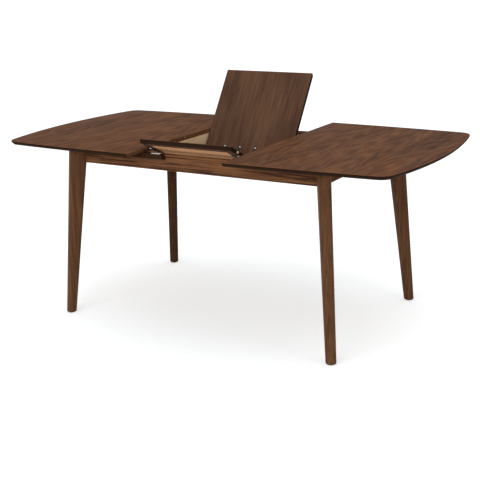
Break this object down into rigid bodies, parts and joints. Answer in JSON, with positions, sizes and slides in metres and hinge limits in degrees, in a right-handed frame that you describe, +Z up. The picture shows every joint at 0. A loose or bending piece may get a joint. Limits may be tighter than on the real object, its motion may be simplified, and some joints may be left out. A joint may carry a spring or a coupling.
{
  "type": "extending dining table",
  "caption": "Boat-shaped extending dining table on splayed tapered legs, its halves drawn apart and its folding butterfly leaf half raised.",
  "frame": {"origin": "on the floor under the middle of the table", "axes": "+X along the table to the right half, +Y to the back where the rear leaf half stands, +Z up"},
  "size_m": [1.826, 0.95, 0.9893],
  "materials": {
    "walnut_top": "walnut staves glued up, stained, with a clear satin lacquer",
    "walnut_solid": "solid walnut with a clear satin lacquer",
    "raw_beech": "sanded bare beech",
    "black_steel": "black powder coat",
    "zinc_steel": "bright zinc plate",
    "black_nylon": "moulded nylon"
  },
  "bodies": {
    "frame": {"leg_front_left": "walnut_solid", "corner_block_front_left": "raw_beech", "leg_front_right": "walnut_solid", "corner_block_front_right": "raw_beech", "leg_back_left": "walnut_solid", "corner_block_back_left": "raw_beech", "leg_back_right": "walnut_solid", "corner_block_back_right": "raw_beech", "foot_glides": "black_nylon", "leg_bolts": "zinc_steel", "leg_nuts": "zinc_steel", "apron_front": "walnut_solid", "slide_channel_front_right": "zinc_steel", "slide_channel_front_left": "zinc_steel", "apron_back": "walnut_solid", "slide_channel_back_right": "zinc_steel", "slide_channel_back_left": "zinc_steel", "apron_right": "walnut_solid", "apron_left": "walnut_solid", "cross_rail_right": "raw_beech", "cross_rail_left": "raw_beech", "guide_plate_right": "black_steel", "guide_plate_left": "black_steel", "guide_screws": "zinc_steel"},
    "left_top": {"top_left": "walnut_top", "top_left_pins": "raw_beech", "bearer_left_front": "walnut_solid", "runner_left_front": "raw_beech", "slide_member_left_front": "zinc_steel", "bearer_left_back": "walnut_solid", "runner_left_back": "raw_beech", "slide_member_left_back": "zinc_steel", "wear_plates": "zinc_steel"},
    "right_top": {"top_right": "walnut_top", "top_right_pins": "raw_beech", "bearer_right_front": "walnut_solid", "runner_right_front": "raw_beech", "slide_member_right_front": "zinc_steel", "bearer_right_back": "walnut_solid", "runner_right_back": "raw_beech", "slide_member_right_back": "zinc_steel"},
    "leaf_lift": {"lift_shaft": "zinc_steel", "guide_rollers": "black_nylon", "shaft_collars": "zinc_steel"},
    "front_leaf": {"leaf_front": "walnut_top", "leaf_front_pins": "raw_beech", "hinge_pins": "black_steel", "lift_bracket_right": "black_steel", "lift_bracket_left": "black_steel", "leaf_glide_right": "black_steel", "leaf_glide_left": "black_steel", "glide_buttons": "zinc_steel"},
    "rear_leaf": {"leaf_rear": "walnut_top", "hinge_straps": "black_steel"}
  },
  "joints": [
    {"name": "left_top_slide", "type": "slide", "parent": "frame", "child": "left_top", "axis": [1, 0, 0], "range_m": [0, 0.0085]},
    {"name": "right_top_slide", "type": "slide", "parent": "frame", "child": "right_top", "axis": [-1, 0, 0], "range_m": [0, 0.0085]},
    {"name": "leaf_lift", "type": "slide", "parent": "frame", "child": "leaf_lift", "axis": [0, -0.6868, 0.7269], "range_m": [0, 0.06694]},
    {"name": "leaf_tilt", "type": "hinge", "parent": "leaf_lift", "child": "front_leaf", "pos_m": [0, -0.21403, 0.66334], "axis": [1, 0, 0], "range_deg": [0, 26.81]},
    {"name": "leaf_fold", "type": "hinge", "parent": "front_leaf", "child": "rear_leaf", "pos_m": [0, 0.02267, 0.58277], "axis": [1, 0, 0], "range_deg": [-83.11, 0]}
  ],
  "couplings": [
    {"joint": "leaf_tilt", "follows": "leaf_lift", "rad_per_m": 6.9876},
    {"joint": "leaf_fold", "follows": "leaf_lift", "rad_per_m": -21.667}
  ]
}
